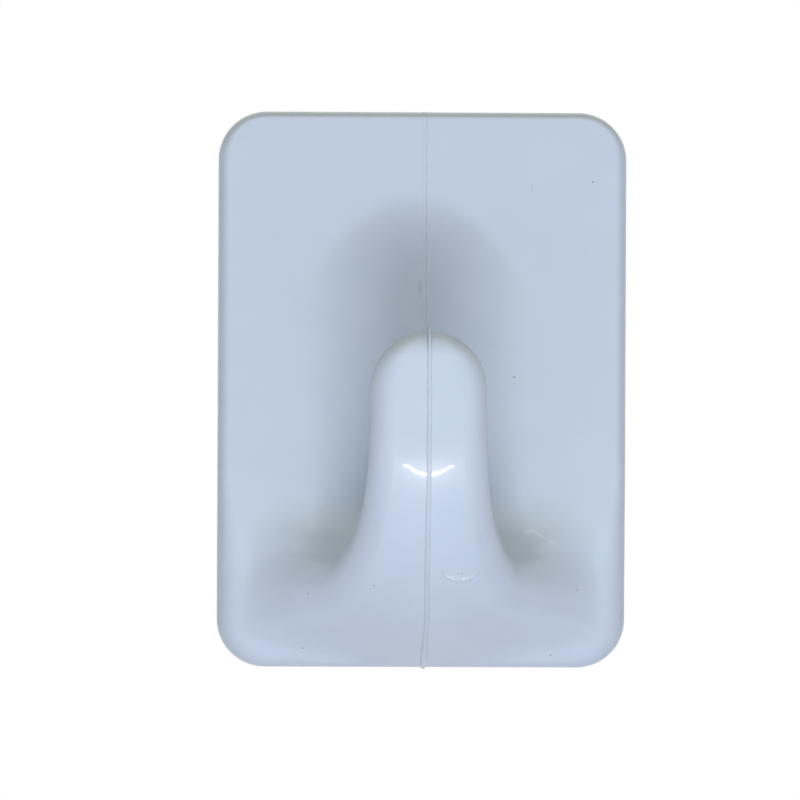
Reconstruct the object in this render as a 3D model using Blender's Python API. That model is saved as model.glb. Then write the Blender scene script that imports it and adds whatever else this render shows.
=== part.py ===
"""Self-adhesive clothes hook: a moulded plate whose foot flares into one upturned prong,
with a foam tape pad seated in a shallow recess behind it.

Metres, +Z up, +X to the right. The wall is the plane Y = 0 and the hook reaches out along -Y.
The origin is the centre of the pad's wall face. The body's own points are given as depth from
the plate's back and height from the plate's foot.
"""

import math

import bmesh
import bpy
from mathutils import Vector

# Plate
PLATE_WIDTH = 0.0441
PLATE_HEIGHT = 0.0600
PLATE_THICKNESS = 0.0030
CORNER_RADIUS = 0.0052
EDGE_BREADTH = 0.0013
EDGE_DEPTH = 0.0021
FOOT_EDGE_BREADTH = 0.0034
FOOT_EDGE_DEPTH = 0.0028
FOOT_EDGE_FADE = 0.0110

# Recess in the back of the plate, and the foam pad that sits in it
RECESS_RIM = 0.0026
RECESS_DEPTH = 0.0005
RECESS_CORNER_RADIUS = 0.0030
PAD_CLEARANCE = 0.0003
PAD_THICKNESS = 0.0011

# Prong
REACH = 0.0245
TIP_HEIGHT = 0.0362
PRONG_WIDTH = 0.0122
PRONG_THICKNESS = 0.0054
PRONG_EDGE_RADIUS = 0.0025
PRONG_CROWN = 0.0006

# Hull: the curved underside that carries the prong, from the foot of the plate to the upright
UPRIGHT_HEIGHT = 0.0245
UPRIGHT_PULL = 0.0105
LAUNCH_ANGLE = math.radians(18)
LAUNCH_PULL = 0.0140
ROOT_THICKNESS = 0.0075
ROOT_EDGE_RADIUS = 0.0018
ROOT_TAPER = 1.5
ROOT_CROWN = 0.0022

# Flare: how far the hull spreads at one height, and how soon that fades upwards
FLARE_LEVEL = 0.0098
FLARE_SPREAD = 0.0042
FLARE_FADE = 0.0048

# Lip: the stretch of the plate's side, above its corner, that the flare's rim runs out into,
# and how far the rounded edge beside the foot turns towards the front
LIP_GAP = 0.0022
LIP_BREADTH = 0.0060
SIDE_ANGLE = math.radians(66)

# Footprint of the throat's fillet on the plate's front, and how far in from the rim the rest
# of the blend starts
FOOTPRINT_HEIGHT = 0.0190
FOOTPRINT_CROWN = 0.0130
FOOT_RUN = 0.0006

# Blend between the plate and the hull: where it ends on the hull, how its lines are shared out
# there, and how far they keep their first and last headings, as shares of their span
THROAT_START = 0.41
HEADING_STEP = 0.02
CORNER_SHARE = 0.70
SIDE_SHARE = 0.92
AIM_SHARE = 0.60
BOTTOM_PULL = 0.15
SIDE_PULL = 0.20
THROAT_PULL = 0.40
HULL_PULL = 0.50
LIP_HULL_PULL = 0.15

# Facets
STRAIGHT_STEPS = 6
CORNER_STEPS = 6
LOWER_SIDE_STEPS = 2
UPPER_SIDE_STEPS = 3
SIDE_STEPS = 2
ROUNDING_STEPS = 4
EDGE_STEPS = 4
BLEND_STEPS = 16
BEND_STEPS = 14
UPRIGHT_STEPS = 2
TIP_STEPS = 11
SOFT_PASSES = 2
PAD_CORNER_STEPS = 8
SHARP_ANGLE = math.radians(35)

# Where the plate lies, in the body's own frame and in the world
LIP_LOW = CORNER_RADIUS + LIP_GAP
LIP_STEPS = 2 * ROUNDING_STEPS + SIDE_STEPS
PLATE_FRONT = -PLATE_THICKNESS
FULL_REACH = PLATE_THICKNESS + REACH
UPRIGHT_END = TIP_HEIGHT - PRONG_WIDTH / 2
WALL_GAP = PAD_THICKNESS - RECESS_DEPTH
PLATE_BOTTOM = -PLATE_HEIGHT / 2


def clear_scene():
    for obj in list(bpy.data.objects):
        bpy.data.objects.remove(obj, do_unlink=True)


def plastic(name, colour, roughness):
    material = bpy.data.materials.new(name)
    material.use_nodes = True
    shader = material.node_tree.nodes["Principled BSDF"]
    shader.inputs["Base Color"].default_value = (*colour, 1)
    shader.inputs["Roughness"].default_value = roughness
    shader.inputs["Metallic"].default_value = 0
    return material


def mix(first, second, share):
    return first + (second - first) * share


def eased(share):
    share = min(max(share, 0), 1)
    return share * share * (3 - 2 * share)


def bezier(start, first, last, end, share):
    rest = 1 - share
    return (
        start * rest**3
        + first * 3 * rest**2 * share
        + last * 3 * rest * share**2
        + end * share**3
    )


def run(first, last, steps):
    """Even steps from the first value up to, but not with, the last."""
    return [mix(first, last, step / steps) for step in range(steps)]


def mirrored(right):
    """A ring of (across, up, outward) points from its right half, which starts and ends on
    the middle plane."""
    left = [(-across, up, Vector((-out.x, out.y))) for across, up, out in reversed(right[1:-1])]
    return right + left


def plate_outline(inset, corner_radius):
    """Points round the plate from the middle of its foot. Those of the foot, the lower corner
    and the side below the lip lie under the hull, and those above the lip lie over it."""
    half_width = PLATE_WIDTH / 2 - inset
    straight = half_width - corner_radius
    low = inset + corner_radius
    high = PLATE_HEIGHT - low
    top = PLATE_HEIGHT - inset
    right = [(across, inset, Vector((0, -1))) for across in run(0, straight, STRAIGHT_STEPS)]
    for turn in run(0, math.pi / 2, CORNER_STEPS):
        out = Vector((math.sin(turn), -math.cos(turn)))
        right.append((straight + corner_radius * out.x, low + corner_radius * out.y, out))
    lip_low = low + LIP_GAP
    lip_high = lip_low + LIP_BREADTH
    heights = run(low, lip_low, LOWER_SIDE_STEPS)
    heights += run(lip_low, lip_high, LIP_STEPS)
    heights += run(lip_high, high, UPPER_SIDE_STEPS)
    right += [(half_width, up, Vector((1, 0))) for up in heights]
    for turn in run(0, math.pi / 2, CORNER_STEPS):
        out = Vector((math.cos(turn), math.sin(turn)))
        right.append((straight + corner_radius * out.x, high + corner_radius * out.y, out))
    right += [(across, top, Vector((0, 1))) for across in run(straight, 0, STRAIGHT_STEPS) + [0]]
    return mirrored(right)


def section_outline(half_width, thickness, edge_radius):
    """Points round a slice of the hull, matched one to one with those of plate_outline."""
    straight = half_width - edge_radius
    corner = straight * CORNER_SHARE
    side = straight * SIDE_SHARE
    down = Vector((0, -1))
    under = run(0, corner, STRAIGHT_STEPS)
    under += run(corner, side, CORNER_STEPS)
    under += run(side, straight, LOWER_SIDE_STEPS)
    over = run(straight, corner, UPPER_SIDE_STEPS + CORNER_STEPS)
    over += run(corner, 0, STRAIGHT_STEPS) + [0]
    right = [(across, 0, down) for across in under]
    for turn in run(0, math.pi / 2, ROUNDING_STEPS):
        out = Vector((math.sin(turn), -math.cos(turn)))
        right.append((straight + edge_radius * out.x, edge_radius * (1 + out.y), out))
    heights = run(edge_radius, thickness - edge_radius, SIDE_STEPS)
    right += [(half_width, up, Vector((1, 0))) for up in heights]
    for turn in run(0, math.pi / 2, ROUNDING_STEPS):
        out = Vector((math.cos(turn), math.sin(turn)))
        up = thickness - edge_radius * (1 - out.y)
        right.append((straight + edge_radius * out.x, up, out))
    right += [(across, thickness, -down) for across in over]
    return mirrored(right)


def flat_ring(points, depth):
    return [Vector((across, depth, up)) for across, up, _ in points]


def edge_turn(across, up):
    """How far the plate's rounded edge turns towards the front before the hull takes over:
    little in the middle of the foot, more at its sides, and all the way above the lip."""
    foot = mix(LAUNCH_ANGLE, SIDE_ANGLE, eased(abs(across) / (PLATE_WIDTH / 2)))
    return mix(foot, math.pi / 2, eased((up - LIP_LOW) / LIP_BREADTH))


def edge_size(up):
    """Breadth and depth of the front edge's rounding, which is broader beside the foot."""
    above = eased((up - LIP_LOW) / FOOT_EDGE_FADE)
    return (
        mix(FOOT_EDGE_BREADTH, EDGE_BREADTH, above),
        mix(FOOT_EDGE_DEPTH, EDGE_DEPTH, above),
    )


def edge_ring(share):
    """One ring of the front edge's rounding, a part of a quarter ellipse."""
    ring = []
    for across, up, out in plate_outline(0, CORNER_RADIUS):
        breadth, depth = edge_size(up)
        turn = share * edge_turn(across, up)
        inset = breadth * (1 - math.cos(turn))
        level = PLATE_FRONT + depth * (1 - math.sin(turn))
        ring.append(Vector((across - out.x * inset, level, up - out.y * inset)))
    return ring


def launch_frames():
    """For each point round the plate, the way in over the foot and the way along the rim."""
    frames = []
    for across, up, out in plate_outline(0, CORNER_RADIUS):
        breadth, depth = edge_size(up)
        turn = edge_turn(across, up)
        sideways = breadth * math.sin(turn)
        inward = Vector((-out.x * sideways, -depth * math.cos(turn), -out.y * sideways))
        frames.append((inward.normalized(), Vector((-out.y, 0, out.x))))
    return frames


def footprint_arch(first):
    """Where the throat's fillet leaves the plate, from beside the lip to over the prong."""
    span = first.x - FOOTPRINT_CROWN
    rise = FOOTPRINT_HEIGHT - first.z
    arch = []
    for turn in run(0, math.pi / 2, UPPER_SIDE_STEPS + CORNER_STEPS):
        across = first.x - span * (1 - math.cos(turn))
        point = Vector((across, PLATE_FRONT, first.z + rise * math.sin(turn)))
        inward = Vector((-math.cos(turn), 0, -math.sin(turn)))
        arch.append((point, inward, Vector((-math.sin(turn), 0, math.cos(turn)))))
    for across in run(FOOTPRINT_CROWN, 0, STRAIGHT_STEPS) + [0]:
        point = Vector((across, PLATE_FRONT, FOOTPRINT_HEIGHT))
        arch.append((point, Vector((0, 0, -1)), Vector((-1, 0, 0))))
    return arch


def footprint():
    """Start of each line that runs from the plate to the hull, with its way in and along."""
    edge = edge_ring(1)
    frames = launch_frames()
    below = STRAIGHT_STEPS + CORNER_STEPS + LOWER_SIDE_STEPS + LIP_STEPS
    right = []
    for point, (inward, along) in zip(edge[:below], frames):
        right.append((point + inward * FOOT_RUN, inward, along))
    right += footprint_arch(edge[below] + frames[below][0] * FOOT_RUN)
    left = []
    for point, inward, along in reversed(right[1:-1]):
        left.append(
            (
                Vector((-point.x, point.y, point.z)),
                Vector((-inward.x, inward.y, inward.z)),
                Vector((along.x, along.y, -along.z)),
            )
        )
    return right + left


def aimed(inward, along, towards):
    """The way in, swung within the surface towards the point that the line ends at."""
    flat = Vector((inward.x, 0, inward.z)).normalized()
    goal = Vector((towards.x, 0, towards.z)).normalized()
    ahead = mix(1, max(goal.dot(flat), 0), AIM_SHARE)
    aside = goal.dot(along) * AIM_SHARE
    return (inward * ahead + along * aside).normalized()


def hull_line(share):
    """Point and heading of the hull's underside on the middle plane, as (depth, height, angle)."""
    start = Vector((0, 0))
    first = Vector((math.cos(LAUNCH_ANGLE), math.sin(LAUNCH_ANGLE))) * LAUNCH_PULL
    end = Vector((FULL_REACH, UPRIGHT_HEIGHT))
    last = end - Vector((0, UPRIGHT_PULL))
    rest = 1 - share
    point = bezier(start, first, last, end, share)
    heading = first * rest**2 + (last - first) * 2 * rest * share + (end - last) * share**2
    return -point.x, point.y, math.atan2(heading.y, heading.x)


def section_ring(depth, height, angle, half_width, thickness, edge_radius, crown):
    """A rounded section square to the hull's heading, standing on its crowned underside."""
    inward = Vector((0, math.sin(angle), math.cos(angle)))
    foot = Vector((0, depth, height))
    ring = []
    for across, up, _ in section_outline(half_width, thickness, edge_radius):
        bow = crown * (across / half_width) ** 2 * (1 - up / thickness)
        ring.append(foot + Vector((across, 0, 0)) + inward * (up + bow))
    return ring


def prong_half_width(height):
    """Half the width at a height: even under the tip, spreading towards the foot."""
    spread = math.exp((FLARE_LEVEL - height) / FLARE_FADE)
    least = math.exp((FLARE_LEVEL - UPRIGHT_END) / FLARE_FADE)
    return PRONG_WIDTH / 2 + FLARE_SPREAD * (spread - least)


def hull_ring(share):
    depth, height, angle = hull_line(share)
    below = (UPRIGHT_HEIGHT - height) / UPRIGHT_HEIGHT
    thickness = mix(PRONG_THICKNESS, ROOT_THICKNESS, below**ROOT_TAPER)
    middle = height + thickness / 2 * math.cos(angle)
    edge_radius = mix(PRONG_EDGE_RADIUS, ROOT_EDGE_RADIUS, below)
    crown = mix(PRONG_CROWN, ROOT_CROWN, below)
    return section_ring(
        depth, height, angle, prong_half_width(middle), thickness, edge_radius, crown
    )


def blend_rings():
    """Rings from the footprint on the plate to the first whole section of the hull."""
    ends = hull_ring(THROAT_START)
    beyond = hull_ring(THROAT_START + HEADING_STEP)
    lines = []
    for (start, inward, along), end, onward in zip(footprint(), ends, beyond):
        span = (end - start).length
        low_pull = mix(BOTTOM_PULL, SIDE_PULL, eased(abs(inward.x)))
        pull = mix(low_pull, THROAT_PULL, eased(-inward.z))
        back = mix(HULL_PULL, LIP_HULL_PULL, eased(abs(start.x) / (PLATE_WIDTH / 2)))
        first = start + aimed(inward, along, end - start) * span * pull
        last = end - (onward - end).normalized() * span * back
        lines.append((start, first, last, end))
    return [
        [bezier(*line, step / BLEND_STEPS) for line in lines] for step in range(BLEND_STEPS)
    ]


def softened(ring, share):
    """Takes the creases out of a ring by drawing each point towards its neighbours."""
    for _ in range(SOFT_PASSES):
        around = zip(ring[-1:] + ring[:-1], ring, ring[1:] + ring[:1])
        ring = [point.lerp((before + after) / 2, share / 2) for before, point, after in around]
    return ring


def upright_ring(height):
    return section_ring(
        -FULL_REACH,
        height,
        math.pi / 2,
        prong_half_width(height),
        PRONG_THICKNESS,
        PRONG_EDGE_RADIUS,
        PRONG_CROWN,
    )


def tip_ring(turn):
    """A ring of the tip, round in front view, with its edge rounded as the prong's sides are."""
    tip_radius = PRONG_WIDTH / 2
    rise = tip_radius * math.sin(turn)
    half_width = tip_radius * math.cos(turn)
    half_thickness = PRONG_THICKNESS / 2
    into_edge = max(rise - (tip_radius - half_thickness), 0) / half_thickness
    half_thickness *= math.sqrt(max(1 - into_edge**2, 0))
    edge_radius = min(half_width, half_thickness) * PRONG_EDGE_RADIUS / (PRONG_THICKNESS / 2)
    depth = -FULL_REACH + PRONG_THICKNESS / 2 - half_thickness
    height = UPRIGHT_END + rise
    crown = PRONG_CROWN * math.cos(turn) ** 2
    return section_ring(
        depth, height, math.pi / 2, half_width, 2 * half_thickness, edge_radius, crown
    )


def body_rings():
    """Every ring of the body, from the floor of the recess behind to the last one at the tip."""
    recess = flat_ring(plate_outline(RECESS_RIM, RECESS_CORNER_RADIUS), -RECESS_DEPTH)
    recess_mouth = flat_ring(plate_outline(RECESS_RIM, RECESS_CORNER_RADIUS), 0)
    back = flat_ring(plate_outline(0, CORNER_RADIUS), 0)
    rings = [recess, recess_mouth, back]
    rings += [edge_ring(step / EDGE_STEPS) for step in range(EDGE_STEPS + 1)]
    hull = blend_rings() + [hull_ring(share) for share in run(THROAT_START, 1, BEND_STEPS)]
    for index, ring in enumerate(hull):
        rings.append(softened(ring, math.sin(math.pi * index / len(hull))))
    rings += [upright_ring(height) for height in run(UPRIGHT_HEIGHT, UPRIGHT_END, UPRIGHT_STEPS)]
    rings += [tip_ring(turn) for turn in run(0, math.pi / 2, TIP_STEPS)]
    return rings


def loft(name, rings, apex):
    """One closed mesh through the rings: a flat cap on the first and a point past the last."""
    mesh = bpy.data.meshes.new(name)
    shape = bmesh.new()
    placed = [[shape.verts.new(point) for point in ring] for ring in rings]
    shape.faces.new(placed[0])
    for ring, following in zip(placed, placed[1:]):
        for index in range(len(ring)):
            after = (index + 1) % len(ring)
            shape.faces.new((ring[index], ring[after], following[after], following[index]))
    point = shape.verts.new(apex)
    last = placed[-1]
    for index in range(len(last)):
        shape.faces.new((last[index], last[(index + 1) % len(last)], point))
    bmesh.ops.recalc_face_normals(shape, faces=shape.faces)
    shape.to_mesh(mesh)
    shape.free()
    mesh.shade_smooth()
    mesh.set_sharp_from_angle(angle=SHARP_ANGLE)
    return mesh


def hook_body(collection, material):
    tip = Vector((0, -FULL_REACH + PRONG_THICKNESS / 2, TIP_HEIGHT))
    mesh = loft("hook_body", body_rings(), tip)
    mesh.materials.append(material)
    body = bpy.data.objects.new("hook_body", mesh)
    body.location = (0, -WALL_GAP, PLATE_BOTTOM)
    collection.objects.link(body)


def adhesive_pad(collection, material):
    margin = RECESS_RIM + PAD_CLEARANCE
    size = Vector((PLATE_WIDTH - 2 * margin, PAD_THICKNESS, PLATE_HEIGHT - 2 * margin))
    mesh = bpy.data.meshes.new("adhesive_pad")
    shape = bmesh.new()
    bmesh.ops.create_cube(shape, size=1)
    for vert in shape.verts:
        vert.co = Vector((vert.co.x * size.x, vert.co.y * size.y, vert.co.z * size.z))
    through = [
        edge for edge in shape.edges if edge.verts[0].co.x == edge.verts[1].co.x
        and edge.verts[0].co.z == edge.verts[1].co.z
    ]
    bmesh.ops.bevel(
        shape,
        geom=through,
        offset=RECESS_CORNER_RADIUS - PAD_CLEARANCE,
        segments=PAD_CORNER_STEPS,
        profile=0.5,
        affect="EDGES",
    )
    shape.to_mesh(mesh)
    shape.free()
    mesh.shade_smooth()
    mesh.set_sharp_from_angle(angle=SHARP_ANGLE)
    mesh.materials.append(material)
    pad = bpy.data.objects.new("adhesive_pad", mesh)
    pad.location = (0, -PAD_THICKNESS / 2, 0)
    collection.objects.link(pad)


def main():
    clear_scene()
    collection = bpy.data.collections.new("clothes_hook")
    bpy.context.scene.collection.children.link(collection)
    hook_body(collection, plastic("moulded_plastic", (0.55, 0.64, 0.79), 0.18))
    adhesive_pad(collection, plastic("foam_tape", (0.80, 0.79, 0.74), 0.85))


main()
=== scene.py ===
"""Look of the self-adhesive clothes hook: the moulded body at full smoothness, its parting rib
and marks, the foam pad, the floor, the camera and the light. Metres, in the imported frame: the
wall is the plane Y = 0, the hook reaches out along -Y and +Z is up."""

import math

import bmesh
import bpy
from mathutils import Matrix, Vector

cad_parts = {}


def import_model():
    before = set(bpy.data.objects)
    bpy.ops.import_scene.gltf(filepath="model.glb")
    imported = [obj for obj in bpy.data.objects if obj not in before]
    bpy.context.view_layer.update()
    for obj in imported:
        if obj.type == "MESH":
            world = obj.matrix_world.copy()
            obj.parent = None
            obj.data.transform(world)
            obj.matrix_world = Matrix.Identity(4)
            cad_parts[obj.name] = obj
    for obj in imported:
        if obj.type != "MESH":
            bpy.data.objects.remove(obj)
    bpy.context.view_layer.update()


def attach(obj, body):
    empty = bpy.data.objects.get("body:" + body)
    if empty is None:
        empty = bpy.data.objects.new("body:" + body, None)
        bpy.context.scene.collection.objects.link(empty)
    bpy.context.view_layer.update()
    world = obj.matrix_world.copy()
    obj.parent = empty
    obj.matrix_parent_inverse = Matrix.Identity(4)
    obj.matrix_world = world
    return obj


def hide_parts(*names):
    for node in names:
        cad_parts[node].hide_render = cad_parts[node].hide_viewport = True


# Plate
PLATE_WIDTH = 0.0441
PLATE_HEIGHT = 0.0600
PLATE_THICKNESS = 0.0030
CORNER_RADIUS = 0.0052
EDGE_BREADTH = 0.0013
EDGE_DEPTH = 0.0021
UPPER_EDGE_BREADTH = 0.0008
FOOT_EDGE_BREADTH = 0.0034
FOOT_EDGE_DEPTH = 0.0028

# Recess behind the plate, and the pad in it
RECESS_RIM = 0.0026
RECESS_DEPTH = 0.0005
RECESS_CORNER_RADIUS = 0.0030
PAD_CLEARANCE = 0.0003
PAD_THICKNESS = 0.0011

# Prong
REACH = 0.0245
TIP_HEIGHT = 0.0362
PRONG_WIDTH = 0.0122
PRONG_THICKNESS = 0.0054
PRONG_EDGE_RADIUS = 0.0025

# Hull, from the foot to where the prong is upright
UPRIGHT_HEIGHT = 0.0245
LAUNCH_ANGLE = math.radians(18)
LAUNCH_PULL = 0.0140
UPRIGHT_PULL = 0.0112
ROOT_THICKNESS = 0.0075
ROOT_TAPER = 1.5
ROOT_EDGE_RADIUS = 0.0018
FLARE_LEVEL = 0.0098
FLARE_SPREAD = 0.0042
FLARE_FADE = 0.0048
THROAT_START = 0.41
PRONG_CROWN = 0.0006
ROOT_CROWN = 0.0022

# Foot, from the plate's rim to the hull
LIP_GAP = 0.0022
LIP_BREADTH = 0.0060
SIDE_ANGLE = math.radians(66)
FOOT_EDGE_FADE = 0.0110
FOOTPRINT_HEIGHT = 0.0190
FOOTPRINT_CROWN = 0.0130
FOOT_RUN = 0.0006
CORNER_SHARE = 0.70
SIDE_SHARE = 0.92
AIM_SHARE = 0.6
BOTTOM_PULL = 0.15
SIDE_PULL = 0.20
THROAT_PULL = 0.40
HULL_PULL = 0.50
LIP_HULL_PULL = 0.15

# Fineness of the shown mesh
STRAIGHT_STEPS = 18
CORNER_STEPS = 16
LOWER_SIDE_STEPS = 6
UPPER_SIDE_STEPS = 6
SIDE_STEPS = 5
ROUNDING_STEPS = 8
EDGE_STEPS = 12
BLEND_STEPS = 44
BEND_STEPS = 48
UPRIGHT_STEPS = 4
TIP_STEPS = 30
SOFT_PASSES = 18
HEADING_STEP = 0.02
SHARP_ANGLE = math.radians(35)

# Sizes and places that follow from those above
LIP_LOW = CORNER_RADIUS + LIP_GAP
LIP_STEPS = 2 * ROUNDING_STEPS + SIDE_STEPS
WALL_GAP = PAD_THICKNESS - RECESS_DEPTH
PLATE_BOTTOM = -PLATE_HEIGHT / 2
PLATE_FRONT = -PLATE_THICKNESS
FULL_REACH = PLATE_THICKNESS + REACH
BODY_PLACE = (0, -WALL_GAP, PLATE_BOTTOM)

# Pad as shown: foam with rounded edges, crowned a little on the wall's side
PAD_INSET = RECESS_RIM + PAD_CLEARANCE
PAD_CORNER_RADIUS = RECESS_CORNER_RADIUS - PAD_CLEARANCE
PAD_EDGE = 0.0003
PAD_CROWN = 0.00006
PAD_CROWN_POWER = 4
PAD_FACE_STEPS = 12

# Rib along the mould's parting line: a bead on a thin skirt whose edge sinks into the body. It
# grows into a fin at the tip and a gate mark at the foot, and thins to a seam on the plate.
RIB_HALF_WIDTH = 0.00018
RIB_HEIGHT = 0.00012
RIB_SKIRT = 0.00022
RIB_SINK = 0.00004
BEAD_FOOT = 1.3
BEAD_STEPS = 4
TIP_FIN_HEIGHT = 0.00078
TIP_FIN_FADE = 0.0026
SEAM_HALF_WIDTH = 0.00016
SEAM_HEIGHT = 0.00003
SEAM_NEAR = 0.006
SEAM_FAR = 0.012
GATE_HALF_WIDTH = 0.00025
GATE_HEIGHT = 0.00022
GATE_TOP = 0.0027
GATE_FADE = 0.0004

# How far the rib drifts right as it nears the wall, and the dirt and painted shade beside it
DRIFT = 0.00027
PLATE_DRIFT_SHARE = 0.60
DRIFT_NEAR = 0.012
DRIFT_FAR = 0.024
DIRT_AND_SHADE_ATTRIBUTE = "dirt_and_shade_layer"
# Darker beside the rib: partly dirt, partly painted shade at the rib's foot and on the seam's
# step
PRONG_DIRT_AND_SHADE = 0.5
PLATE_DIRT_AND_SHADE = 0.9
BEAD_DIRT_AND_SHADE_SHARE = 0.4
LEFT_DIRT_AND_SHADE_SHARE = 2

# Plastic: its sheen and clear skin, its colours, and the real sizes of what varies over it. A
# band gives the values at which a colour starts to show and shows in full.
PLASTIC_ROUGHNESS = 0.33
PLASTIC_IOR = 1.5
PLASTIC_SHEEN = 0.35
SKIN_WEIGHT = 0.25
SKIN_ROUGHNESS = 0.04
PLASTIC_COLOUR = (0.545, 0.636, 0.785)
PLASTIC_CLOUD_COLOUR = (0.560, 0.648, 0.797)
CLOUD_SIZE = 0.004
CLOUD_BAND = (0.3, 0.7)
SPECK_COLOUR = (0.30, 0.27, 0.25)
SPECK_SIZE = 0.00045
SPECK_BAND = (0.80, 0.83)
# Darker colour: dirt, and painted shade at the rib's foot and along the nick's lower edge
DIRT_AND_SHADE_COLOUR = (0.34, 0.34, 0.31)
DIRT_AND_SHADE_SIZE = 0.0006
DIRT_AND_SHADE_BAND = (0.2, 0.8)
DIRT_AND_SHADE_LEAST = 0.6
DIRT_AND_SHADE_STRENGTH = 0.36
NOISE_DETAIL = 2

# Ripples in the clear skin: the width and depth of each
RIPPLES = ((0.004, 0.000010), (0.0005, 0.000008))

# Marks of use, in the moulding's own coordinates. The nick's paler face, the dark line along
# its lower edge and its glints are painted light and shade.
DUST_SIZE = 0.00010
DUST_BAND = (1.3, 0.7)
DUST = (
    (0.0167, -0.0049, 0.0085),
    (0.0140, -0.0025, 0.0014),
    (0.0183, -0.0030, 0.0525),
    (0.0099, -0.0030, 0.0314),
    (-0.0055, -0.0171, 0.0091),
    (-0.0128, -0.0031, 0.0021),
    (-0.0124, -0.0097, 0.0081),
    (0.0038, -0.0193, 0.0105),
)
SMUDGE_CENTRE = (-0.0003, -0.0030, 0.0409)
SMUDGE_SIZES = (0.0003, 0.0005, 0.0012)
SMUDGE_BAND = (1, 0.2)
SCUFF_COLOUR = (0.62, 0.71, 0.86)
SCUFF_HALF_WIDTH = 0.00025
SCUFF_STROKE_SHARE = 0.62
SCUFF_BAND = (1.1, 0.7)
SCUFF = (
    (0.0110, -0.0051, 0.0147),
    (0.0120, -0.0048, 0.0149),
    (0.0132, -0.0055, 0.0140),
    (0.0144, -0.0052, 0.0135),
)
# Paler colour on the nick: painted light on its tilted face
NICK_PAINTED_LIGHT = (0.62, 0.70, 0.84)
NICK_CENTRE = (0.0036, -0.0195, 0.0119)
NICK_RADIUS = 0.0023
NICK_THROUGH = 0.0092
NICK_SHIFT = 0.0022
NICK_INNER_RADIUS = 0.0040
NICK_BAND = (1, 0.96)
NICK_INNER_BAND = (0.96, 1.02)
# The dark line along the nick's lower edge is a painted shadow of its step
NICK_SHADOW_BANDS = ((0.96, 1), (1.06, 1.02))
NICK_SHADOW_SHARE = 0.5
NICK_DEPTH = 0.000015
# Painted glints on the nick's face
GLINT_COLOUR = (0.86, 0.92, 1.0)
GLINT_SIZE = 0.0003
GLINT_BAND = (0.58, 0.66)

# Foam: its colours, the width of a cell and the depth between cells
FOAM_COLOUR = (0.80, 0.79, 0.74)
FOAM_CLOUD_COLOUR = (0.77, 0.75, 0.68)
FOAM_RIM_COLOUR = (0.58, 0.57, 0.52)
FOAM_RIM_BAND = (0.35, 0.75)
FOAM_RIM_SHARE = 0.5
FOAM_CELL = 0.00032
FOAM_CLOUD_SIZE = 0.009
FOAM_RELIEF = 0.00005
FOAM_ROUGHNESS = (0.62, 0.85)

# Floor, and how far it is seen as the white background
FLOOR_SIZE = 1.2
FLOOR_LEVEL = -0.50
FLOOR_COLOUR = (0.8, 0.8, 0.8)
FLOOR_ROUGHNESS = 0.8
FLOOR_WHITE = 0.35

# Camera, and where the plate's middle falls in the picture, in pixels
PICTURE = 800
PIXELS_PER_METRE = 9270
OBJECT_MIDDLE = (422.3, 389.8)
CAMERA_DISTANCE = 1.0
CAMERA_ASIDE = math.radians(-1.8)
CAMERA_ROLL = math.radians(0.24)
CLIP_START = 0.01
CLIP_END = 10

# Row of lamps: how far below the line of sight, and how much less so at its ends
LAMP_ANGLE = math.radians(30.2)
LAMP_LIFT = math.radians(8)
LAMP_DISTANCE = 0.30
LAMP_HALF_SPAN = 0.059
LAMP_ASIDE = 0.009
LAMP_COUNT = 9
LAMP_HEIGHT = 0.012
LAMP_POWER = 0.355
LAMP_TARGET_DEPTH = 0.015

# Light from all round: its colours, how steeply the top and bottom light set in before the
# wall's plane, and how closely the back light gathers
WHITE = (1, 1, 1)
TOP_LIGHT = (1.23, 1.23, 0.93)
TOP_EDGE = 9
BOTTOM_LIGHT = (3.14, 3.18, 3.80)
BOTTOM_EDGE = 2.3
BACK_LIGHT = (2.1, 2.1, 2.5)
BACK_FOCUS = 6


def mix(first, second, share):
    return first + (second - first) * share


def eased(share):
    """A share held between 0 and 1, with a soft start and end."""
    share = min(max(share, 0), 1)
    return share * share * (3 - 2 * share)


def run(first, last, steps):
    """Even steps from the first value towards the last, without the last."""
    return [mix(first, last, step / steps) for step in range(steps)]


def quarter(steps):
    """The angles of a quarter turn in even steps, without its end."""
    return [math.pi / 2 * step / steps for step in range(steps)]


def nearness(point, near, far):
    """1 where a point lies within near of the plate's back, and 0 from far on."""
    return eased((far + point.y) / (far - near))


def curve_point(start, first, last, end, share):
    """Point of a curve that leaves start towards first and comes to end from last."""
    rest = 1 - share
    return (
        start * rest**3
        + first * 3 * rest**2 * share
        + last * 3 * rest * share**2
        + end * share**3
    )


def mirrored(right):
    """The points of the right half, followed by those of the left half back to the first."""
    left = [(-across, up, Vector((-out.x, out.y))) for across, up, out in reversed(right[1:-1])]
    return right + left


def plate_outline(inset, corner_radius):
    """Points, each with its outward direction, round the plate from the middle of its foot."""
    half_width = PLATE_WIDTH / 2 - inset
    straight = half_width - corner_radius
    low = inset + corner_radius
    high = PLATE_HEIGHT - inset - corner_radius
    right = [(across, inset, Vector((0, -1))) for across in run(0, straight, STRAIGHT_STEPS)]
    for turn in quarter(CORNER_STEPS):
        out = Vector((math.sin(turn), -math.cos(turn)))
        right.append((straight + corner_radius * out.x, low + corner_radius * out.y, out))
    lip_low = low + LIP_GAP
    lip_high = lip_low + LIP_BREADTH
    heights = run(low, lip_low, LOWER_SIDE_STEPS)
    heights += run(lip_low, lip_high, LIP_STEPS)
    heights += run(lip_high, high, UPPER_SIDE_STEPS)
    right += [(half_width, up, Vector((1, 0))) for up in heights]
    for turn in quarter(CORNER_STEPS):
        out = Vector((math.cos(turn), math.sin(turn)))
        right.append((straight + corner_radius * out.x, high + corner_radius * out.y, out))
    top = PLATE_HEIGHT - inset
    right += [(across, top, Vector((0, 1))) for across in run(straight, 0, STRAIGHT_STEPS)]
    right.append((0, top, Vector((0, 1))))
    return mirrored(right)


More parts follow.
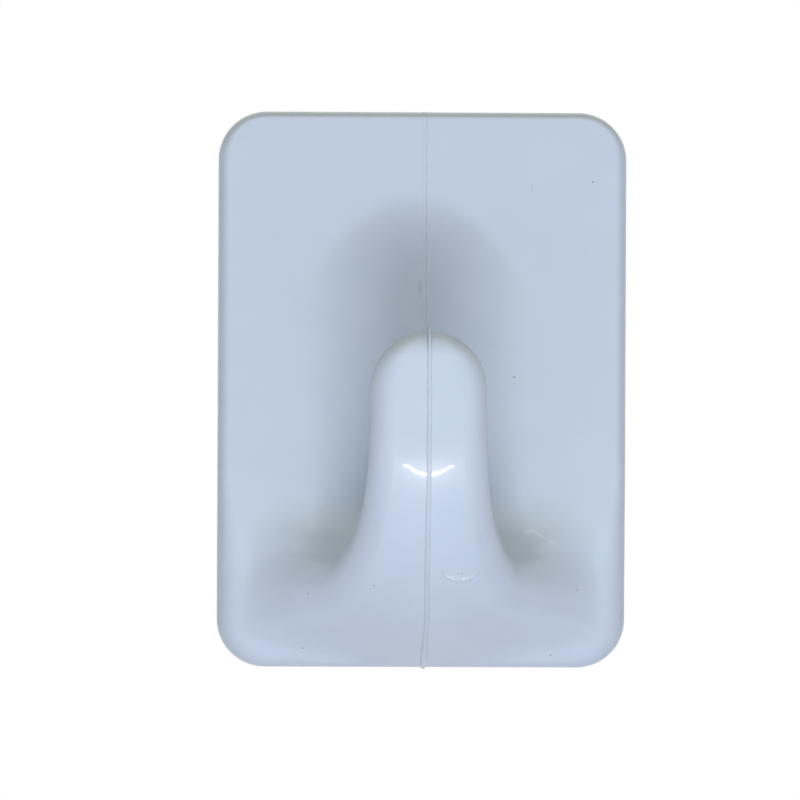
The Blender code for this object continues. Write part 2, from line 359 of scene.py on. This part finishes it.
def section_outline(half_width, thickness, edge_radius):
    """Points round a slice of the hull, matched one to one with those of plate_outline."""
    straight = half_width - edge_radius
    corner = straight * CORNER_SHARE
    side = straight * SIDE_SHARE
    down = Vector((0, -1))
    under = run(0, corner, STRAIGHT_STEPS)
    under += run(corner, side, CORNER_STEPS)
    under += run(side, straight, LOWER_SIDE_STEPS)
    over = run(straight, corner, UPPER_SIDE_STEPS + CORNER_STEPS) + run(corner, 0, STRAIGHT_STEPS)
    right = [(across, 0, down) for across in under]
    for turn in quarter(ROUNDING_STEPS):
        out = Vector((math.sin(turn), -math.cos(turn)))
        right.append((straight + edge_radius * out.x, edge_radius * (1 + out.y), out))
    heights = run(edge_radius, thickness - edge_radius, SIDE_STEPS)
    right += [(half_width, up, Vector((1, 0))) for up in heights]
    for turn in quarter(ROUNDING_STEPS):
        out = Vector((math.cos(turn), math.sin(turn)))
        up = thickness - edge_radius * (1 - out.y)
        right.append((straight + edge_radius * out.x, up, out))
    right += [(across, thickness, -down) for across in over]
    right.append((0, thickness, -down))
    return mirrored(right)


def flat_ring(points, depth):
    return [Vector((across, depth, up)) for across, up, _ in points]


def edge_turn(across, up):
    """How far the plate's rounded edge turns towards the front before the foot takes over."""
    foot = mix(LAUNCH_ANGLE, SIDE_ANGLE, eased(abs(across) / (PLATE_WIDTH / 2)))
    return mix(foot, math.pi / 2, eased((up - LIP_LOW) / LIP_BREADTH))


def edge_size(up):
    """Breadth and depth of the plate's edge: roundest beside the foot, sharpest at the top."""
    above = eased((up - LIP_LOW) / FOOT_EDGE_FADE)
    crest = eased((up - PLATE_HEIGHT + CORNER_RADIUS) / CORNER_RADIUS)
    return (
        mix(FOOT_EDGE_BREADTH, mix(EDGE_BREADTH, UPPER_EDGE_BREADTH, crest), above),
        mix(FOOT_EDGE_DEPTH, EDGE_DEPTH, above),
    )


def edge_ring(share):
    """A ring round the plate's edge, at a share of the way over its rounding."""
    ring = []
    for across, up, out in plate_outline(0, CORNER_RADIUS):
        breadth, depth = edge_size(up)
        turn = share * edge_turn(across, up)
        inset = breadth * (1 - math.cos(turn))
        level = PLATE_FRONT + depth * (1 - math.sin(turn))
        ring.append(Vector((across - out.x * inset, level, up - out.y * inset)))
    return ring


def launch_frames():
    """For each point round the plate, the way in over the foot and the way along the rim."""
    frames = []
    for across, up, out in plate_outline(0, CORNER_RADIUS):
        breadth, depth = edge_size(up)
        turn = edge_turn(across, up)
        inset = breadth * math.sin(turn)
        inward = Vector((-out.x * inset, -depth * math.cos(turn), -out.y * inset)).normalized()
        frames.append((inward, Vector((-out.y, 0, out.x))))
    return frames


def footprint_arch(first):
    """Where the throat's fillet leaves the plate, from beside the lip to over the prong."""
    span = first.x - FOOTPRINT_CROWN
    rise = FOOTPRINT_HEIGHT - first.z
    arch = []
    for turn in quarter(UPPER_SIDE_STEPS + CORNER_STEPS):
        across = first.x - span * (1 - math.cos(turn))
        point = Vector((across, PLATE_FRONT, first.z + rise * math.sin(turn)))
        inward = Vector((-math.cos(turn), 0, -math.sin(turn)))
        arch.append((point, inward, Vector((-math.sin(turn), 0, math.cos(turn)))))
    for across in run(FOOTPRINT_CROWN, 0, STRAIGHT_STEPS) + [0]:
        point = Vector((across, PLATE_FRONT, FOOTPRINT_HEIGHT))
        arch.append((point, Vector((0, 0, -1)), Vector((-1, 0, 0))))
    return arch


def footprint():
    """Start of each line that runs from the plate to the hull, with its way in and along."""
    edge = edge_ring(1)
    frames = launch_frames()
    below = STRAIGHT_STEPS + CORNER_STEPS + LOWER_SIDE_STEPS + LIP_STEPS
    right = []
    for point, (inward, along) in zip(edge[:below], frames):
        right.append((point + inward * FOOT_RUN, inward, along))
    right += footprint_arch(edge[below] + frames[below][0] * FOOT_RUN)
    left = []
    for point, inward, along in reversed(right[1:-1]):
        left.append(
            (
                Vector((-point.x, point.y, point.z)),
                Vector((-inward.x, inward.y, inward.z)),
                Vector((along.x, along.y, -along.z)),
            )
        )
    return right + left


def aimed(inward, along, towards):
    """The way in, swung within the surface towards the point that the line ends at."""
    flat = Vector((inward.x, 0, inward.z)).normalized()
    goal = Vector((towards.x, 0, towards.z)).normalized()
    ahead = mix(1, max(goal.dot(flat), 0), AIM_SHARE)
    aside = goal.dot(along) * AIM_SHARE
    return (inward * ahead + along * aside).normalized()


def hull_line(share):
    """Depth, height and slope of the hull's outer face in its middle, from the plate's rim to
    where the prong is upright."""
    start = Vector((0, 0))
    first = Vector((math.cos(LAUNCH_ANGLE), math.sin(LAUNCH_ANGLE))) * LAUNCH_PULL
    end = Vector((FULL_REACH, UPRIGHT_HEIGHT))
    last = end - Vector((0, UPRIGHT_PULL))
    point = curve_point(start, first, last, end, share)
    rest = 1 - share
    heading = (
        (first - start) * rest**2 + (last - first) * 2 * rest * share + (end - last) * share**2
    )
    return -point.x, point.y, math.atan2(heading.y, heading.x)


def section_ring(depth, height, angle, half_width, thickness, edge_radius, crown):
    """A slice of the hull, whose outer face falls back by the crown towards its sides."""
    inward = Vector((0, math.sin(angle), math.cos(angle)))
    foot = Vector((0, depth, height))
    ring = []
    for across, up, _ in section_outline(half_width, thickness, edge_radius):
        bow = crown * (across / half_width) ** 2 * (1 - up / thickness)
        ring.append(foot + Vector((across, 0, 0)) + inward * (up + bow))
    return ring


def prong_half_width(height):
    """Half the width at a height: even near the tip, spreading towards the foot."""
    tip_start = TIP_HEIGHT - PRONG_WIDTH / 2
    spread = math.exp((FLARE_LEVEL - height) / FLARE_FADE)
    least = math.exp((FLARE_LEVEL - tip_start) / FLARE_FADE)
    return PRONG_WIDTH / 2 + FLARE_SPREAD * (spread - least)


def hull_ring(share):
    """The slice at a share of the hull's line, thicker and sharper towards the foot."""
    depth, height, angle = hull_line(share)
    below = (UPRIGHT_HEIGHT - height) / UPRIGHT_HEIGHT
    thickness = mix(PRONG_THICKNESS, ROOT_THICKNESS, below**ROOT_TAPER)
    middle = height + thickness / 2 * math.cos(angle)
    edge_radius = mix(PRONG_EDGE_RADIUS, ROOT_EDGE_RADIUS, below)
    crown = mix(PRONG_CROWN, ROOT_CROWN, below)
    return section_ring(
        depth, height, angle, prong_half_width(middle), thickness, edge_radius, crown
    )


def blend_rings():
    """Rings of the foot, along a curve from each point of the footprint to the hull."""
    ends = hull_ring(THROAT_START)
    beyond = hull_ring(THROAT_START + HEADING_STEP)
    lines = []
    for (start, inward, along), end, onward in zip(footprint(), ends, beyond):
        span = (end - start).length
        sideways = eased(abs(inward.x))
        pull = mix(mix(BOTTOM_PULL, SIDE_PULL, sideways), THROAT_PULL, eased(-inward.z))
        way = aimed(inward, along, end - start)
        back = mix(HULL_PULL, LIP_HULL_PULL, eased(abs(start.x) / (PLATE_WIDTH / 2)))
        first = start + way * span * pull
        last = end - (onward - end).normalized() * span * back
        lines.append((start, first, last, end))
    return [[curve_point(*line, share) for line in lines] for share in run(0, 1, BLEND_STEPS)]


def softened(ring, share):
    """Takes the creases out of a ring by drawing each point towards its neighbours."""
    for _ in range(SOFT_PASSES):
        around = zip(ring[-1:] + ring[:-1], ring, ring[1:] + ring[:1])
        ring = [point.lerp((before + after) / 2, share / 2) for before, point, after in around]
    return ring


def upright_ring(height):
    return section_ring(
        -FULL_REACH,
        height,
        math.pi / 2,
        prong_half_width(height),
        PRONG_THICKNESS,
        PRONG_EDGE_RADIUS,
        PRONG_CROWN,
    )


def tip_ring(turn):
    """A slice of the round tip, which a quarter turn takes from full width to nothing."""
    tip_radius = PRONG_WIDTH / 2
    rise = tip_radius * math.sin(turn)
    half_width = tip_radius * math.cos(turn)
    half_thickness = PRONG_THICKNESS / 2
    into_edge = max(rise - (tip_radius - half_thickness), 0) / half_thickness
    half_thickness *= math.sqrt(max(1 - into_edge**2, 0))
    edge_radius = min(half_width, half_thickness) * PRONG_EDGE_RADIUS / (PRONG_THICKNESS / 2)
    depth = -FULL_REACH + PRONG_THICKNESS / 2 - half_thickness
    height = TIP_HEIGHT - tip_radius + rise
    crown = PRONG_CROWN * (half_width / tip_radius) ** 2
    return section_ring(
        depth, height, math.pi / 2, half_width, 2 * half_thickness, edge_radius, crown
    )


def back_rings():
    """The recess for the pad, from its floor to its mouth, and the plate's back rim."""
    recess = plate_outline(RECESS_RIM, RECESS_CORNER_RADIUS)
    rim = plate_outline(0, CORNER_RADIUS)
    return [flat_ring(recess, -RECESS_DEPTH), flat_ring(recess, 0), flat_ring(rim, 0)]


def front_rings():
    """The skin from the plate's edge over the foot and up the prong, to just short of its tip."""
    rings = [edge_ring(share) for share in run(0, 1, EDGE_STEPS) + [1]]
    foot = blend_rings()
    foot += [hull_ring(share) for share in run(THROAT_START, 1, BEND_STEPS)]
    for index, ring in enumerate(foot):
        rings.append(softened(ring, math.sin(math.pi * index / len(foot))))
    upright_end = TIP_HEIGHT - PRONG_WIDTH / 2
    rings += [upright_ring(height) for height in run(UPRIGHT_HEIGHT, upright_end, UPRIGHT_STEPS)]
    rings += [tip_ring(turn) for turn in quarter(TIP_STEPS)]
    return rings


def smooth_mesh(name, shape):
    """The finished shape as a mesh, faced outwards and shaded smooth."""
    mesh = bpy.data.meshes.new(name)
    bmesh.ops.recalc_face_normals(shape, faces=shape.faces)
    shape.to_mesh(mesh)
    shape.free()
    mesh.shade_smooth()
    return mesh


def loft(name, rings, apex):
    """A closed form through rings of equal length, flat at its first and pointed at its apex."""
    shape = bmesh.new()
    corners = [[shape.verts.new(point) for point in ring] for ring in rings]
    shape.faces.new(corners[0])
    for ring, following in zip(corners, corners[1:]):
        for index in range(len(ring)):
            after = (index + 1) % len(ring)
            shape.faces.new((ring[index], ring[after], following[after], following[index]))
    point = shape.verts.new(apex)
    last = corners[-1]
    for index in range(len(last)):
        shape.faces.new((last[index], last[(index + 1) % len(last)], point))
    mesh = smooth_mesh(name, shape)
    mesh.set_sharp_from_angle(angle=SHARP_ANGLE)
    return mesh


def placed(name, data, place):
    """A new object in the scene that holds a mesh, a lamp or a camera."""
    thing = bpy.data.objects.new(name, data)
    thing.location = place
    bpy.context.scene.collection.objects.link(thing)
    return thing


def hook_moulding(material):
    """The plate, foot and prong in one piece."""
    tip = Vector((0, -FULL_REACH + PRONG_THICKNESS / 2, TIP_HEIGHT))
    mesh = loft("hook_moulding", back_rings() + front_rings(), tip)
    mesh.materials.append(material)
    body = placed("hook_moulding", mesh, BODY_PLACE)
    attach(body, "root")
    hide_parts("hook_body")


def rib_line():
    """Points of the body's middle section with their outward directions: from the back of its
    foot, under the hull, over the tip, through the throat and up the plate."""
    rings = front_rings()
    half = len(rings[0]) // 2
    points = [ring[0] for ring in rings] + [ring[half] for ring in reversed(rings)]
    line = []
    for index, point in enumerate(points):
        before = points[max(index - 1, 0)]
        after = points[min(index + 1, len(points) - 1)]
        way = (after - before).normalized()
        line.append((point, Vector((0, -way.z, way.y))))
    return line


def rib_size(point, front, on_plate):
    """Half the width and the height of the rib where it passes a point of the body."""
    if front and point.z < GATE_TOP + GATE_FADE:
        gate = 1 - eased((point.z - GATE_TOP) / GATE_FADE)
        return mix(RIB_HALF_WIDTH, GATE_HALF_WIDTH, gate), mix(RIB_HEIGHT, GATE_HEIGHT, gate)
    near_tip = eased(1 - (TIP_HEIGHT - point.z) / TIP_FIN_FADE)
    height = mix(RIB_HEIGHT, TIP_FIN_HEIGHT, near_tip)
    return mix(RIB_HALF_WIDTH, SEAM_HALF_WIDTH, on_plate), mix(height, SEAM_HEIGHT, on_plate)


def rib_profile(half_width, height, on_plate):
    """Points across the rib from right to left: how far across, how far out, and how much dirt
    and painted shade. The prong's rib has most on its left, the plate's seam only on its right."""
    dirt_and_shade = mix(PRONG_DIRT_AND_SHADE, PLATE_DIRT_AND_SHADE, on_plate)
    right = [
        (RIB_SKIRT + half_width, -RIB_SINK, 0),
        (half_width * BEAD_FOOT, RIB_SINK / 2, dirt_and_shade),
    ]
    for turn in quarter(BEAD_STEPS):
        shade = BEAD_DIRT_AND_SHADE_SHARE * dirt_and_shade if turn == 0 else 0
        right.append((half_width * math.cos(turn), height * math.sin(turn), shade))
    left_share = LEFT_DIRT_AND_SHADE_SHARE * (1 - on_plate)
    left = [(-across, up, shade * left_share) for across, up, shade in reversed(right)]
    return right + [(0, height, 0)] + left


def parting_rib(material):
    """The rib's profile swept along its line, with its dirt and painted shade in an attribute
    for the plastic.
    """
    shape = bmesh.new()
    dirt_and_shade_layer = shape.verts.layers.float.new(DIRT_AND_SHADE_ATTRIBUTE)
    line = rib_line()
    rows = []
    for index, (point, out) in enumerate(line):
        front = index < len(line) // 2
        on_plate = 0 if front else nearness(point, SEAM_NEAR, SEAM_FAR)
        drift = DRIFT * nearness(point, DRIFT_NEAR, DRIFT_FAR)
        drift *= mix(1, PLATE_DRIFT_SHARE, on_plate)
        half_width, height = rib_size(point, front, on_plate)
        row = []
        for across, up, dirt_and_shade in rib_profile(half_width, height, on_plate):
            vert = shape.verts.new(point + out * up + Vector((drift + across, 0, 0)))
            vert[dirt_and_shade_layer] = dirt_and_shade
            row.append(vert)
        rows.append(row)
    for row, following in zip(rows, rows[1:]):
        for index in range(len(row) - 1):
            shape.faces.new((row[index], row[index + 1], following[index + 1], following[index]))
    mesh = smooth_mesh("parting_rib", shape)
    mesh.materials.append(material)
    rib = placed("parting_rib", mesh, BODY_PLACE)
    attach(rib, "root")


def pad_ring(inset, share, depth):
    """A loop round the pad, drawn in towards its middle to a share of its size."""
    middle = PLATE_HEIGHT / 2
    outline = plate_outline(PAD_INSET + inset, PAD_CORNER_RADIUS - inset)
    return [Vector((across * share, depth, mix(middle, up, share))) for across, up, _ in outline]


def foam_pad(material):
    """The pad in its recess: flat on the moulding, rounded at its rim and crowned behind."""
    half = PAD_THICKNESS / 2
    shares = [step / PAD_FACE_STEPS for step in range(1, PAD_FACE_STEPS)]
    rings = [pad_ring(PAD_EDGE, share, -PAD_THICKNESS) for share in shares]
    for step in range(2 * EDGE_STEPS + 1):
        turn = math.pi / 2 * (step / EDGE_STEPS - 1)
        level = -half + (half - PAD_CROWN / 2) * math.sin(turn) - PAD_CROWN / 2
        rings.append(pad_ring(PAD_EDGE * (1 - math.cos(turn)), 1, level))
    for share in reversed(shares):
        rings.append(pad_ring(PAD_EDGE, share, -PAD_CROWN * share**PAD_CROWN_POWER))
    mesh = loft("foam_pad", rings, Vector((0, 0, PLATE_HEIGHT / 2)))
    mesh.materials.append(material)
    pad = placed("foam_pad", mesh, (0, 0, PLATE_BOTTOM))
    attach(pad, "root")
    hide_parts("adhesive_pad")


def new_material(name):
    material = bpy.data.materials.new(name)
    material.use_nodes = True
    return material, material.node_tree, material.node_tree.nodes["Principled BSDF"]


def maths(tree, operation, first, second):
    node = tree.nodes.new("ShaderNodeMath")
    node.operation = operation
    for socket, value in zip(node.inputs, (first, second)):
        if isinstance(value, (int, float)):
            socket.default_value = value
        else:
            tree.links.new(value, socket)
    return node.outputs[0]


def greatest(tree, values):
    best = values[0]
    for value in values[1:]:
        best = maths(tree, "MAXIMUM", best, value)
    return best


def noise(tree, place, size):
    """Noise whose features are of a real size in metres."""
    node = tree.nodes.new("ShaderNodeTexNoise")
    tree.links.new(place, node.inputs["Vector"])
    node.inputs["Scale"].default_value = 1 / size
    node.inputs["Detail"].default_value = NOISE_DETAIL
    return node.outputs[0]


def banded(tree, value, band):
    """The value stretched so that the band's first end becomes 0 and its second becomes 1."""
    node = tree.nodes.new("ShaderNodeMapRange")
    node.interpolation_type = "SMOOTHSTEP"
    tree.links.new(value, node.inputs["Value"])
    node.inputs["From Min"].default_value, node.inputs["From Max"].default_value = band
    return node.outputs["Result"]


def blended(tree, share, first, second):
    """One colour fading into another by the share."""
    node = tree.nodes.new("ShaderNodeMix")
    node.data_type = "RGBA"
    tree.links.new(share, node.inputs["Factor"])
    for socket, value in ((node.inputs["A"], first), (node.inputs["B"], second)):
        if isinstance(value, tuple):
            socket.default_value = (*value, 1)
        else:
            tree.links.new(value, socket)
    return node.outputs["Result"]


def joined(tree, share, first, second):
    """One shader fading into another by the share."""
    node = tree.nodes.new("ShaderNodeMixShader")
    tree.links.new(share, node.inputs[0])
    tree.links.new(first, node.inputs[1])
    tree.links.new(second, node.inputs[2])
    return node.outputs[0]


def bumped(tree, height, depth, below=None):
    """The surface's direction with a relief of a real depth laid over what is below."""
    node = tree.nodes.new("ShaderNodeBump")
    node.inputs["Distance"].default_value = depth
    tree.links.new(height, node.inputs["Height"])
    if below is not None:
        tree.links.new(below, node.inputs["Normal"])
    return node.outputs["Normal"]


def seen_directly(tree):
    """1 for rays from the camera, a reflection or a clear piece, and 0 for those of light."""
    path = tree.nodes.new("ShaderNodeLightPath").outputs
    rays = ("Is Camera Ray", "Is Glossy Ray", "Is Transmission Ray")
    return greatest(tree, [path[ray] for ray in rays])


def reach_from(tree, place, centre, sizes, lean=0):
    """Distance from a centre, where 1 is the skin of an egg of the given sizes that leans in
    the plane of the plate."""
    node = tree.nodes.new("ShaderNodeMapping")
    node.vector_type = "TEXTURE"
    tree.links.new(place, node.inputs["Vector"])
    node.inputs["Location"].default_value = centre
    node.inputs["Rotation"].default_value = (0, lean, 0)
    node.inputs["Scale"].default_value = sizes
    length = tree.nodes.new("ShaderNodeVectorMath")
    length.operation = "LENGTH"
    tree.links.new(node.outputs["Vector"], length.inputs[0])
    return length.outputs["Value"]


def scuff_share(tree, place):
    """Where the pale zig-zag scuff lies: an egg for each of its strokes."""
    strokes = []
    for first, last in zip(SCUFF, SCUFF[1:]):
        stroke = Vector(last) - Vector(first)
        centre = (Vector(first) + Vector(last)) / 2
        sizes = (stroke.length * SCUFF_STROKE_SHARE, stroke.length, SCUFF_HALF_WIDTH)
        reach = reach_from(tree, place, centre, sizes, -math.atan2(stroke.z, stroke.x))
        strokes.append(banded(tree, reach, SCUFF_BAND))
    return greatest(tree, strokes)


def nick_shares(tree, place):
    """The crescent nick between two circles, and the painted shadow along its lower edge."""
    reach = reach_from(tree, place, NICK_CENTRE, (NICK_RADIUS, NICK_THROUGH, NICK_RADIUS))
    across, ahead, up = NICK_CENTRE
    inner_sizes = (NICK_INNER_RADIUS, NICK_THROUGH, NICK_INNER_RADIUS)
    inner = reach_from(tree, place, (across, ahead, up + NICK_SHIFT), inner_sizes)
    outside = banded(tree, inner, NICK_INNER_BAND)
    crescent = maths(tree, "MULTIPLY", banded(tree, reach, NICK_BAND), outside)
    # painted shadow along the nick's lower edge
    starting, ending = [banded(tree, reach, band) for band in NICK_SHADOW_BANDS]
    line = maths(tree, "MULTIPLY", maths(tree, "MULTIPLY", starting, ending), outside)
    return crescent, maths(tree, "MULTIPLY", line, NICK_SHADOW_SHARE)


def speck_share(tree, place):
    """Fine specks in the plastic, and the larger grains of dust."""
    specks = [banded(tree, noise(tree, place, SPECK_SIZE), SPECK_BAND)]
    for centre in DUST:
        reach = reach_from(tree, place, centre, (DUST_SIZE, DUST_SIZE, DUST_SIZE))
        specks.append(banded(tree, reach, DUST_BAND))
    return greatest(tree, specks)


def dirt_and_shade_share(tree, place, nick_shadow_line):
    """Patchy darkening: dirt and painted shade beside the rib, a painted shadow along the nick's
    lower edge, and dirt in the smudge over the tip.
    """
    attribute = tree.nodes.new("ShaderNodeAttribute")
    attribute.attribute_name = DIRT_AND_SHADE_ATTRIBUTE
    smudge = banded(tree, reach_from(tree, place, SMUDGE_CENTRE, SMUDGE_SIZES), SMUDGE_BAND)
    dirt_and_shade = greatest(tree, [attribute.outputs["Fac"], nick_shadow_line, smudge])
    patches = banded(tree, noise(tree, place, DIRT_AND_SHADE_SIZE), DIRT_AND_SHADE_BAND)
    amount = maths(tree, "MULTIPLY", dirt_and_shade, maths(tree, "ADD", patches, DIRT_AND_SHADE_LEAST))
    return maths(tree, "MULTIPLY", amount, DIRT_AND_SHADE_STRENGTH)


def plastic_colour(tree, place, crescent, nick_shadow_line):
    """Faintly clouded cool white, then the scuff, the nick's painted light and glints, specks,
    and the dirt and painted shade.
    """
    cloud = banded(tree, noise(tree, place, CLOUD_SIZE), CLOUD_BAND)
    colour = blended(tree, cloud, PLASTIC_COLOUR, PLASTIC_CLOUD_COLOUR)
    colour = blended(tree, scuff_share(tree, place), colour, SCUFF_COLOUR)
    # painted light on the nick's face
    colour = blended(tree, crescent, colour, NICK_PAINTED_LIGHT)
    # painted glints in the nick
    glints = banded(tree, noise(tree, place, GLINT_SIZE), GLINT_BAND)
    colour = blended(tree, maths(tree, "MULTIPLY", crescent, glints), colour, GLINT_COLOUR)
    colour = blended(tree, speck_share(tree, place), colour, SPECK_COLOUR)
    # dirt, and painted shade beside the rib and along the nick
    return blended(tree, dirt_and_shade_share(tree, place, nick_shadow_line), colour, DIRT_AND_SHADE_COLOUR)


def plastic_material():
    """Glossy cool white plastic: a soft sheen under a clear skin with a moulding ripple."""
    material, tree, shader = new_material("moulded_plastic")
    shader.inputs["Roughness"].default_value = PLASTIC_ROUGHNESS
    shader.inputs["IOR"].default_value = PLASTIC_IOR
    shader.inputs["Specular IOR Level"].default_value = PLASTIC_SHEEN
    shader.inputs["Coat Weight"].default_value = SKIN_WEIGHT
    shader.inputs["Coat Roughness"].default_value = SKIN_ROUGHNESS
    place = tree.nodes.new("ShaderNodeTexCoord").outputs["Object"]
    crescent, nick_shadow_line = nick_shares(tree, place)
    colour = plastic_colour(tree, place, crescent, nick_shadow_line)
    tree.links.new(colour, shader.inputs["Base Color"])
    bump = bumped(tree, crescent, NICK_DEPTH)
    for size, depth in RIPPLES:
        bump = bumped(tree, noise(tree, place, size), depth, bump)
    tree.links.new(bump, shader.inputs["Normal"])
    tree.links.new(bump, shader.inputs["Coat Normal"])
    return material


def foam_material():
    """Pale closed-cell foam: fine round cells, a little yellowing in clouds, and a dull tack."""
    material, tree, shader = new_material("foam_tape")
    place = tree.nodes.new("ShaderNodeTexCoord").outputs["Object"]
    cells = tree.nodes.new("ShaderNodeTexVoronoi")
    tree.links.new(place, cells.inputs["Vector"])
    cells.inputs["Scale"].default_value = 1 / FOAM_CELL
    cloud = banded(tree, noise(tree, place, FOAM_CLOUD_SIZE), CLOUD_BAND)
    colour = blended(tree, cloud, FOAM_COLOUR, FOAM_CLOUD_COLOUR)
    rim = banded(tree, cells.outputs["Distance"], FOAM_RIM_BAND)
    colour = blended(tree, maths(tree, "MULTIPLY", rim, FOAM_RIM_SHARE), colour, FOAM_RIM_COLOUR)
    tree.links.new(colour, shader.inputs["Base Color"])
    rough = tree.nodes.new("ShaderNodeMapRange")
    tree.links.new(cloud, rough.inputs["Value"])
    rough.inputs["To Min"].default_value = FOAM_ROUGHNESS[0]
    rough.inputs["To Max"].default_value = FOAM_ROUGHNESS[1]
    tree.links.new(rough.outputs["Result"], shader.inputs["Roughness"])
    bump = bumped(tree, cells.outputs["Distance"], FOAM_RELIEF)
    tree.links.new(bump, shader.inputs["Normal"])
    return material


def floor_material():
    """Pale grey that is partly white to the eye, and clear from underneath."""
    material, tree, shader = new_material("pale_floor")
    shader.inputs["Base Color"].default_value = (*FLOOR_COLOUR, 1)
    shader.inputs["Roughness"].default_value = FLOOR_ROUGHNESS
    white = tree.nodes.new("ShaderNodeEmission").outputs[0]
    share = maths(tree, "MULTIPLY", seen_directly(tree), FLOOR_WHITE)
    pale = joined(tree, share, shader.outputs[0], white)
    underneath = tree.nodes.new("ShaderNodeNewGeometry").outputs["Backfacing"]
    clear = tree.nodes.new("ShaderNodeBsdfTransparent").outputs[0]
    surface = joined(tree, underneath, pale, clear)
    tree.links.new(surface, tree.nodes["Material Output"].inputs["Surface"])
    return material


def floor(material):
    """A square floor below the picture."""
    mesh = bpy.data.meshes.new("floor")
    half = FLOOR_SIZE / 2
    corners = [(-half, -half, 0), (half, -half, 0), (half, half, 0), (-half, half, 0)]
    mesh.from_pydata(corners, [], [(0, 1, 2, 3)])
    mesh.materials.append(material)
    placed("floor", mesh, (0, 0, FLOOR_LEVEL))


def camera():
    """Long lens facing the plate, a little to its left, framed as the photograph is."""
    data = bpy.data.cameras.new("camera")
    data.angle = 2 * math.atan(PICTURE / PIXELS_PER_METRE / 2 / CAMERA_DISTANCE)
    data.clip_start = CLIP_START
    data.clip_end = CLIP_END
    data.shift_x = (PICTURE / 2 - OBJECT_MIDDLE[0]) / PICTURE
    data.shift_y = (OBJECT_MIDDLE[1] - PICTURE / 2) / PICTURE
    middle = Vector((0, -WALL_GAP - PLATE_THICKNESS, 0))
    away = Vector((math.sin(CAMERA_ASIDE), -math.cos(CAMERA_ASIDE), 0))
    eye = placed("camera", data, middle + away * CAMERA_DISTANCE)
    eye.rotation_euler = (-away).to_track_quat("-Z", "Y").to_euler()
    eye.rotation_euler.rotate_axis("Z", CAMERA_ROLL)
    bpy.context.scene.camera = eye


def bowed_lamp():
    """A row of small lamps before and below the hook, higher at both ends than in the middle."""
    target = Vector((0, -LAMP_TARGET_DEPTH, 0))
    for index in range(LAMP_COUNT):
        along = (2 * index + 1) / LAMP_COUNT - 1
        angle = LAMP_ANGLE - LAMP_LIFT * along**2
        way = Vector((0, -math.cos(angle), -math.sin(angle)))
        aside = Vector((LAMP_ASIDE + along * LAMP_HALF_SPAN, 0, 0))
        data = bpy.data.lights.new("lamp", "AREA")
        data.shape = "RECTANGLE"
        data.size = 2 * LAMP_HALF_SPAN / LAMP_COUNT
        data.size_y = LAMP_HEIGHT
        data.energy = LAMP_POWER / LAMP_COUNT
        lamp = placed("lamp", data, target + way * LAMP_DISTANCE + aside)
        lamp.rotation_euler = (target - lamp.location).to_track_quat("-Z", "Y").to_euler()


def light_from(tree, colour, level, power=1):
    """Light whose strength is a power of the level, and nothing where that is below 0."""
    light = tree.nodes.new("ShaderNodeBackground")
    light.inputs["Color"].default_value = (*colour, 1)
    tree.links.new(maths(tree, "POWER", maths(tree, "MAXIMUM", level, 0), power), light.inputs[1])
    return light.outputs[0]


def world():
    """Soft light from above, below and behind, seen by the camera and in gloss as white."""
    shade = bpy.data.worlds.new("studio")
    shade.use_nodes = True
    bpy.context.scene.world = shade
    tree = shade.node_tree
    place = tree.nodes.new("ShaderNodeTexCoord")
    part = tree.nodes.new("ShaderNodeSeparateXYZ")
    tree.links.new(place.outputs["Generated"], part.inputs[0])
    behind = part.outputs["Y"]
    ahead = maths(tree, "MULTIPLY", behind, -1)
    total = light_from(tree, BACK_LIGHT, behind, BACK_FOCUS)
    for colour, way, edge in ((TOP_LIGHT, 1, TOP_EDGE), (BOTTOM_LIGHT, -1, BOTTOM_EDGE)):
        front = maths(tree, "MINIMUM", maths(tree, "MULTIPLY", ahead, edge), 1)
        along = maths(tree, "MULTIPLY", part.outputs["Z"], way)
        level = maths(tree, "MULTIPLY", along, maths(tree, "MAXIMUM", front, 0))
        join = tree.nodes.new("ShaderNodeAddShader")
        tree.links.new(total, join.inputs[0])
        tree.links.new(light_from(tree, colour, level), join.inputs[1])
        total = join.outputs[0]
    white = tree.nodes["Background"]
    white.inputs["Color"].default_value = (*WHITE, 1)
    chosen = joined(tree, seen_directly(tree), total, white.outputs[0])
    tree.links.new(chosen, tree.nodes["World Output"].inputs[0])


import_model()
plastic = plastic_material()
hook_moulding(plastic)
parting_rib(plastic)
foam_pad(foam_material())
floor(floor_material())
camera()
bowed_lamp()
world()
bpy.context.scene.view_settings.view_transform = "Standard"
